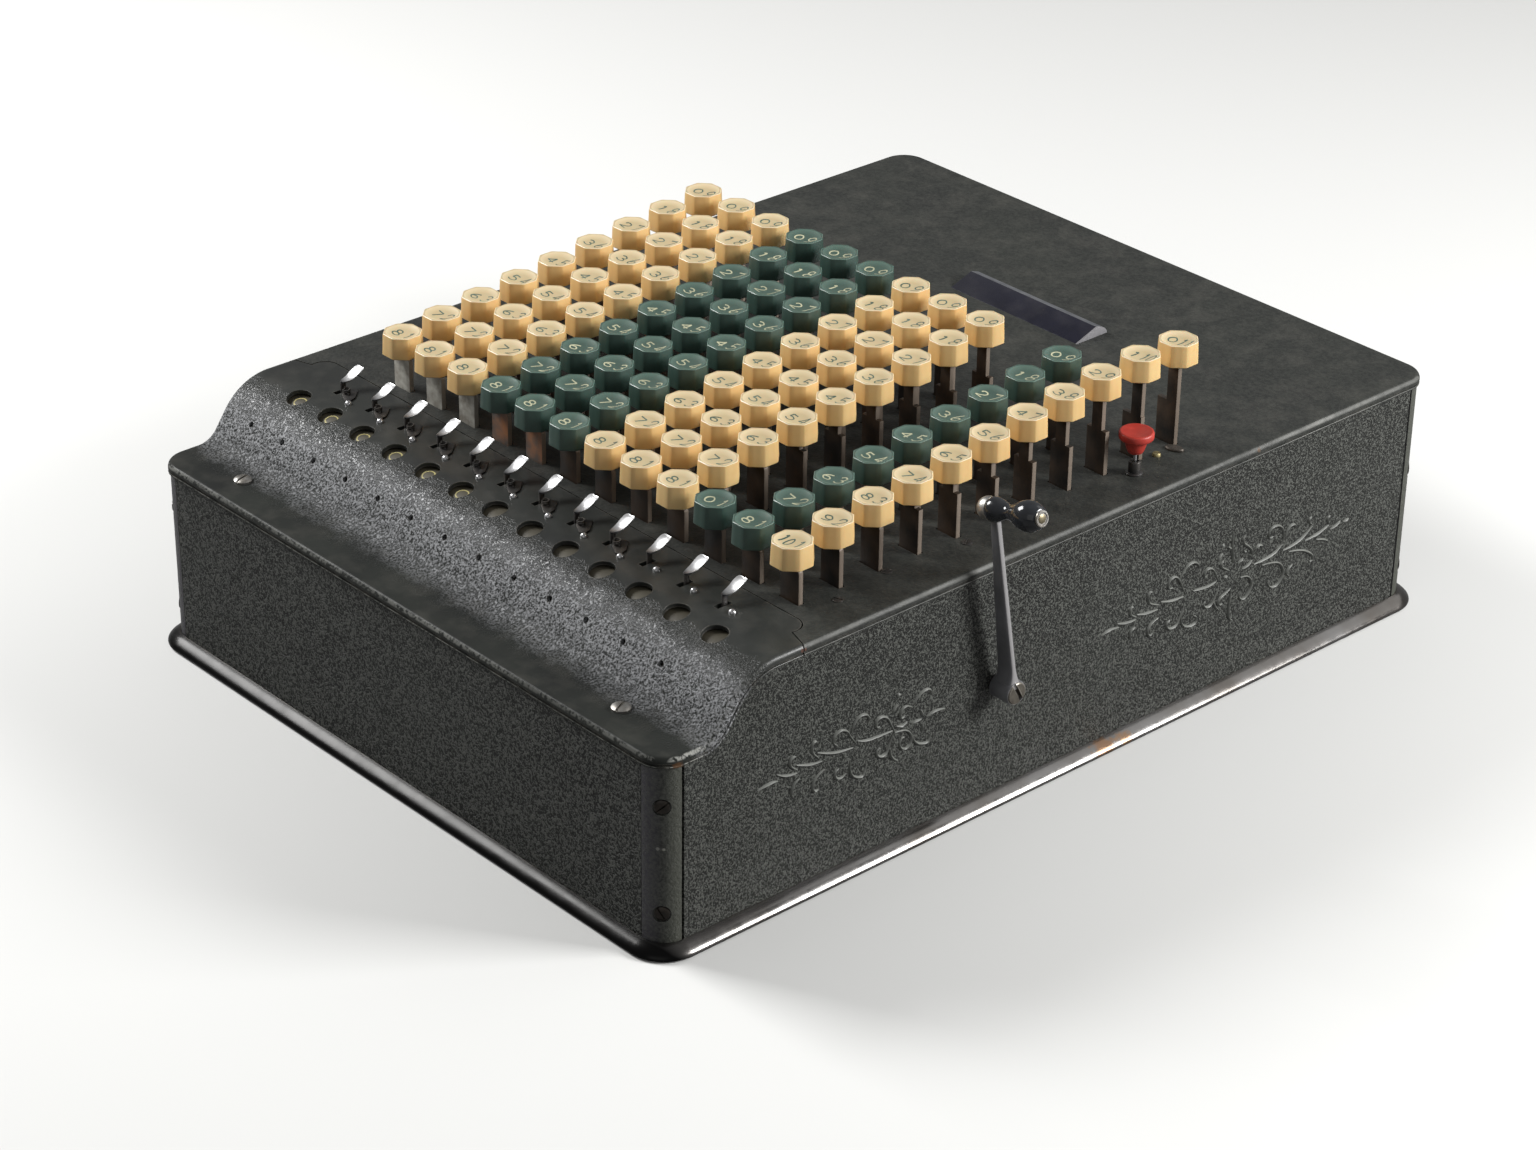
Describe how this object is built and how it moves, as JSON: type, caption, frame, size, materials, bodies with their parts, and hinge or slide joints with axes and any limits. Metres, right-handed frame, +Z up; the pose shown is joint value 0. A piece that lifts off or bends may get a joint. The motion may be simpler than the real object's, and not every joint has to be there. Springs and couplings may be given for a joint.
{
  "type": "key-driven calculator",
  "caption": "Desk adding machine: enamelled steel case, full keyboard of eight-sided keys, S-curved front cover with numeral windows, small levers, release button and side hand lever.",
  "frame": {"origin": "centre of the case outline, on the surface that the feet stand on", "axes": "+X right along the front, +Y from the front to the rear, +Z up"},
  "size_m": [0.3175, 0.3824, 0.1368],
  "materials": {
    "black_enamel": "stoved black enamel, smooth, slightly worn",
    "wrinkle_enamel": "stoved black wrinkle enamel on the case panels",
    "bright_trim": "nickel plate, dulled",
    "felt": "felt pad",
    "cream_caps": "cream moulded key caps, aged",
    "green_caps": "dark green moulded key caps",
    "stem_steel": "blackened steel stems, rust tinged",
    "lever_steel": "plated steel small levers",
    "wheel_white": "numeral wheels, painted pale",
    "frame_steel": "bare mechanism steel",
    "arm_steel": "plated hand lever",
    "grip_black": "black turned grip",
    "pin_brass": "grip pin",
    "button_red": "red release button",
    "bar_blue": "dark blue-black face of the raised bar"
  },
  "bodies": {
    "case": {"base_plate": "black_enamel", "felt_pad": "felt", "base_trim": "bright_trim", "front_panel": "wrinkle_enamel", "rear_panel": "wrinkle_enamel", "side_panel_left": "wrinkle_enamel", "side_panel_right": "wrinkle_enamel", "corner_posts": "black_enamel", "key_plate": "black_enamel", "front_cover": "black_enamel", "name_bar": "bar_blue", "button_collar": "arm_steel", "side_frames": "frame_steel", "frame_rods": "frame_steel", "key_guide": "frame_steel", "column_levers": "frame_steel"},
    "register": {"numeral_wheels": "wheel_white"},
    "hand_lever": {"crank_arm": "arm_steel", "crank_shaft": "frame_steel", "grip_pin": "pin_brass"},
    "grip": {"crank_grip": "grip_black"},
    "release_button": {"release_button": "button_red", "button_stem": "arm_steel"},
    "key_column_01": {"key_caps_01": "cream_caps", "key_stems_01": "stem_steel"},
    "cutoff_lever_01": {"cutoff_lever_01": "lever_steel"},
    "key_column_02": {"key_caps_02": "cream_caps", "key_stems_02": "stem_steel"},
    "cutoff_lever_02": {"cutoff_lever_02": "lever_steel"},
    "key_column_03": {"key_caps_03": "cream_caps", "key_stems_03": "stem_steel"},
    "cutoff_lever_03": {"cutoff_lever_03": "lever_steel"},
    "key_column_04": {"key_caps_04": "green_caps", "key_stems_04": "stem_steel"},
    "cutoff_lever_04": {"cutoff_lever_04": "lever_steel"},
    "key_column_05": {"key_caps_05": "green_caps", "key_stems_05": "stem_steel"},
    "cutoff_lever_05": {"cutoff_lever_05": "lever_steel"},
    "key_column_06": {"key_caps_06": "green_caps", "key_stems_06": "stem_steel"},
    "cutoff_lever_06": {"cutoff_lever_06": "lever_steel"},
    "key_column_07": {"key_caps_07": "cream_caps", "key_stems_07": "stem_steel"},
    "cutoff_lever_07": {"cutoff_lever_07": "lever_steel"},
    "key_column_08": {"key_caps_08": "cream_caps", "key_stems_08": "stem_steel"},
    "cutoff_lever_08": {"cutoff_lever_08": "lever_steel"},
    "key_column_09": {"key_caps_09": "cream_caps", "key_stems_09": "stem_steel"},
    "cutoff_lever_09": {"cutoff_lever_09": "lever_steel"},
    "key_column_10": {"key_caps_10": "green_caps", "key_stems_10": "stem_steel"},
    "cutoff_lever_10": {"cutoff_lever_10": "lever_steel"},
    "key_column_11": {"key_caps_11": "green_caps", "key_stems_11": "stem_steel"},
    "cutoff_lever_11": {"cutoff_lever_11": "lever_steel"},
    "key_column_12": {"key_caps_12": "cream_caps", "key_stems_12": "stem_steel"},
    "cutoff_lever_12": {"cutoff_lever_12": "lever_steel"}
  },
  "joints": [
    {"name": "key_column_01_press", "type": "slide", "parent": "case", "child": "key_column_01", "axis": [0, 0, -1], "range_m": [0, 0.006], "stiffness_N_per_m": 60, "springref_m": -0.004},
    {"name": "key_column_02_press", "type": "slide", "parent": "case", "child": "key_column_02", "axis": [0, 0, -1], "range_m": [0, 0.006], "stiffness_N_per_m": 60, "springref_m": -0.004},
    {"name": "key_column_03_press", "type": "slide", "parent": "case", "child": "key_column_03", "axis": [0, 0, -1], "range_m": [0, 0.006], "stiffness_N_per_m": 60, "springref_m": -0.004},
    {"name": "key_column_04_press", "type": "slide", "parent": "case", "child": "key_column_04", "axis": [0, 0, -1], "range_m": [0, 0.006], "stiffness_N_per_m": 60, "springref_m": -0.004},
    {"name": "key_column_05_press", "type": "slide", "parent": "case", "child": "key_column_05", "axis": [0, 0, -1], "range_m": [0, 0.006], "stiffness_N_per_m": 60, "springref_m": -0.004},
    {"name": "key_column_06_press", "type": "slide", "parent": "case", "child": "key_column_06", "axis": [0, 0, -1], "range_m": [0, 0.006], "stiffness_N_per_m": 60, "springref_m": -0.004},
    {"name": "key_column_07_press", "type": "slide", "parent": "case", "child": "key_column_07", "axis": [0, 0, -1], "range_m": [0, 0.006], "stiffness_N_per_m": 60, "springref_m": -0.004},
    {"name": "key_column_08_press", "type": "slide", "parent": "case", "child": "key_column_08", "axis": [0, 0, -1], "range_m": [0, 0.006], "stiffness_N_per_m": 60, "springref_m": -0.004},
    {"name": "key_column_09_press", "type": "slide", "parent": "case", "child": "key_column_09", "axis": [0, 0, -1], "range_m": [0, 0.006], "stiffness_N_per_m": 60, "springref_m": -0.004},
    {"name": "key_column_10_press", "type": "slide", "parent": "case", "child": "key_column_10", "axis": [0, 0, -1], "range_m": [0, 0.006], "stiffness_N_per_m": 60, "springref_m": -0.004},
    {"name": "key_column_11_press", "type": "slide", "parent": "case", "child": "key_column_11", "axis": [0, 0, -1], "range_m": [0, 0.006], "stiffness_N_per_m": 60, "springref_m": -0.004},
    {"name": "key_column_12_press", "type": "slide", "parent": "case", "child": "key_column_12", "axis": [0, 0, -1], "range_m": [0, 0.006], "stiffness_N_per_m": 60, "springref_m": -0.004},
    {"name": "cutoff_lever_01_swing", "type": "hinge", "parent": "case", "child": "cutoff_lever_01", "pos_m": [-0.1064, -0.1215, 0.08], "axis": [1, 0, 0], "range_deg": [0, 6], "stiffness_Nm_per_rad": 0.002, "springref_deg": -5.73},
    {"name": "cutoff_lever_02_swing", "type": "hinge", "parent": "case", "child": "cutoff_lever_02", "pos_m": [-0.08735, -0.1215, 0.08], "axis": [1, 0, 0], "range_deg": [0, 6], "stiffness_Nm_per_rad": 0.002, "springref_deg": -5.73},
    {"name": "cutoff_lever_03_swing", "type": "hinge", "parent": "case", "child": "cutoff_lever_03", "pos_m": [-0.0683, -0.1215, 0.08], "axis": [1, 0, 0], "range_deg": [0, 6], "stiffness_Nm_per_rad": 0.002, "springref_deg": -5.73},
    {"name": "cutoff_lever_04_swing", "type": "hinge", "parent": "case", "child": "cutoff_lever_04", "pos_m": [-0.04925, -0.1215, 0.08], "axis": [1, 0, 0], "range_deg": [0, 6], "stiffness_Nm_per_rad": 0.002, "springref_deg": -5.73},
    {"name": "cutoff_lever_05_swing", "type": "hinge", "parent": "case", "child": "cutoff_lever_05", "pos_m": [-0.0302, -0.1215, 0.08], "axis": [1, 0, 0], "range_deg": [0, 6], "stiffness_Nm_per_rad": 0.002, "springref_deg": -5.73},
    {"name": "cutoff_lever_06_swing", "type": "hinge", "parent": "case", "child": "cutoff_lever_06", "pos_m": [-0.01115, -0.1215, 0.08], "axis": [1, 0, 0], "range_deg": [0, 6], "stiffness_Nm_per_rad": 0.002, "springref_deg": -5.73},
    {"name": "cutoff_lever_07_swing", "type": "hinge", "parent": "case", "child": "cutoff_lever_07", "pos_m": [0.0079, -0.1215, 0.08], "axis": [1, 0, 0], "range_deg": [0, 6], "stiffness_Nm_per_rad": 0.002, "springref_deg": -5.73},
    {"name": "cutoff_lever_08_swing", "type": "hinge", "parent": "case", "child": "cutoff_lever_08", "pos_m": [0.02695, -0.1215, 0.08], "axis": [1, 0, 0], "range_deg": [0, 6], "stiffness_Nm_per_rad": 0.002, "springref_deg": -5.73},
    {"name": "cutoff_lever_09_swing", "type": "hinge", "parent": "case", "child": "cutoff_lever_09", "pos_m": [0.046, -0.1215, 0.08], "axis": [1, 0, 0], "range_deg": [0, 6], "stiffness_Nm_per_rad": 0.002, "springref_deg": -5.73},
    {"name": "cutoff_lever_10_swing", "type": "hinge", "parent": "case", "child": "cutoff_lever_10", "pos_m": [0.06505, -0.1215, 0.08], "axis": [1, 0, 0], "range_deg": [0, 6], "stiffness_Nm_per_rad": 0.002, "springref_deg": -5.73},
    {"name": "cutoff_lever_11_swing", "type": "hinge", "parent": "case", "child": "cutoff_lever_11", "pos_m": [0.0841, -0.1215, 0.08], "axis": [1, 0, 0], "range_deg": [0, 6], "stiffness_Nm_per_rad": 0.002, "springref_deg": -5.73},
    {"name": "cutoff_lever_12_swing", "type": "hinge", "parent": "case", "child": "cutoff_lever_12", "pos_m": [0.10315, -0.1215, 0.08], "axis": [1, 0, 0], "range_deg": [0, 6], "stiffness_Nm_per_rad": 0.002, "springref_deg": -5.73},
    {"name": "hand_lever_pull", "type": "hinge", "parent": "case", "child": "hand_lever", "pos_m": [0.1411, -0.0365, 0.0482], "axis": [1, 0, 0], "range_deg": [0, 72], "stiffness_Nm_per_rad": 0.05, "springref_deg": -17.19},
    {"name": "register_turn", "type": "hinge", "parent": "case", "child": "register", "pos_m": [0, -0.13848, 0.07895], "axis": [1, 0, 0], "range_deg": [0, 360]},
    {"name": "grip_spin", "type": "hinge", "parent": "hand_lever", "child": "grip", "pos_m": [0.1454, -0.0491, 0.1216], "axis": [0.9744, 0, 0.225], "continuous": true},
    {"name": "release_button_press", "type": "slide", "parent": "case", "child": "release_button", "axis": [0, 0, -1], "range_m": [0, 0.003], "stiffness_N_per_m": 60, "springref_m": -0.002}
  ],
  "couplings": [
    {"joint": "register_turn", "follows": "hand_lever_pull", "ratio": 5}
  ]
}
